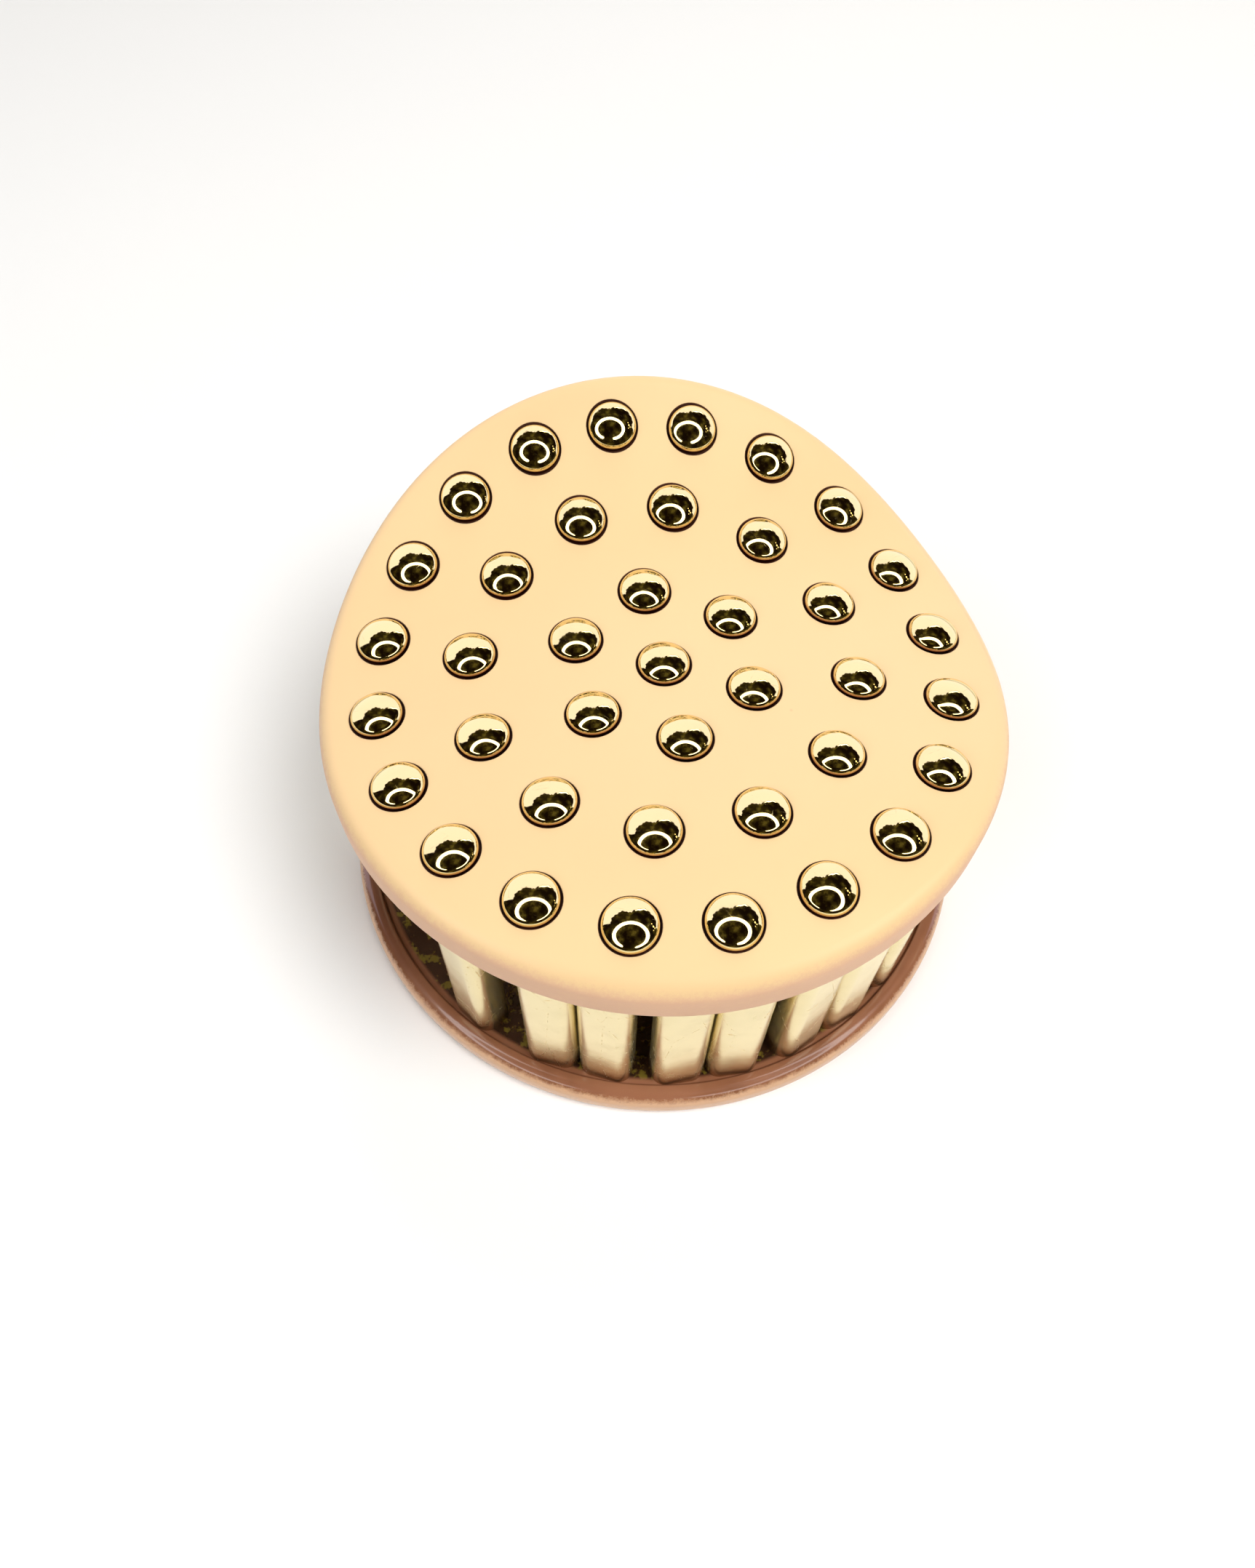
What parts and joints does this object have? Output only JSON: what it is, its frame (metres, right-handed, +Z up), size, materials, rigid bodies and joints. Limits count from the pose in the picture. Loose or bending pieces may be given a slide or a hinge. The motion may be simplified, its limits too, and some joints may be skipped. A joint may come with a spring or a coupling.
{
  "type": "flower frog",
  "caption": "Round flower frog: a waved top plate, curled up on one side, with domed brass studs stands on a ring of polished rods over a heavy base plate.",
  "frame": {"origin": "centre of the base plate's underside", "axes": "+Z up, square to the base plate; -Y towards the front, with the open side of the rod ring at front left"},
  "size_m": [0.078, 0.078, 0.0457],
  "materials": {
    "top_resin": "satin peach cast resin",
    "base_resin": "glossy tan cast resin",
    "polished_brass": "mirror polished",
    "plain_brass": "brushed"
  },
  "bodies": {
    "root": {"base_plate": "base_resin", "top_plate": "top_resin", "rim_studs": "polished_brass", "middle_studs": "polished_brass", "inner_studs": "polished_brass", "tie_bolt": "polished_brass", "centre_sleeve": "polished_brass", "tie_washer": "plain_brass", "tie_nut": "plain_brass", "pillar_01": "polished_brass", "pillar_02": "polished_brass", "pillar_03": "polished_brass", "pillar_04": "polished_brass", "pillar_05": "polished_brass", "pillar_06": "polished_brass", "pillar_07": "polished_brass", "pillar_08": "polished_brass", "pillar_09": "polished_brass", "pillar_10": "polished_brass", "pillar_11": "polished_brass", "pillar_12": "polished_brass", "pillar_13": "polished_brass", "pillar_14": "polished_brass", "pillar_15": "polished_brass", "pillar_16": "polished_brass", "pillar_17": "polished_brass", "pillar_18": "polished_brass", "pillar_19": "polished_brass", "pillar_20": "polished_brass", "pillar_21": "polished_brass", "pillar_22": "polished_brass", "pillar_23": "polished_brass", "pillar_24": "polished_brass", "pillar_25": "polished_brass", "pillar_26": "polished_brass", "pillar_27": "polished_brass", "middle_post_01": "polished_brass", "middle_post_02": "polished_brass", "middle_post_03": "polished_brass", "middle_post_04": "polished_brass", "middle_post_05": "polished_brass", "middle_post_06": "polished_brass", "middle_post_07": "polished_brass", "middle_post_08": "polished_brass", "middle_post_09": "polished_brass", "middle_post_10": "polished_brass", "middle_post_11": "polished_brass", "middle_post_12": "polished_brass", "inner_post_01": "polished_brass", "inner_post_02": "polished_brass", "inner_post_03": "polished_brass", "inner_post_04": "polished_brass", "inner_post_05": "polished_brass", "inner_post_06": "polished_brass"}
  },
  "joints": []
}
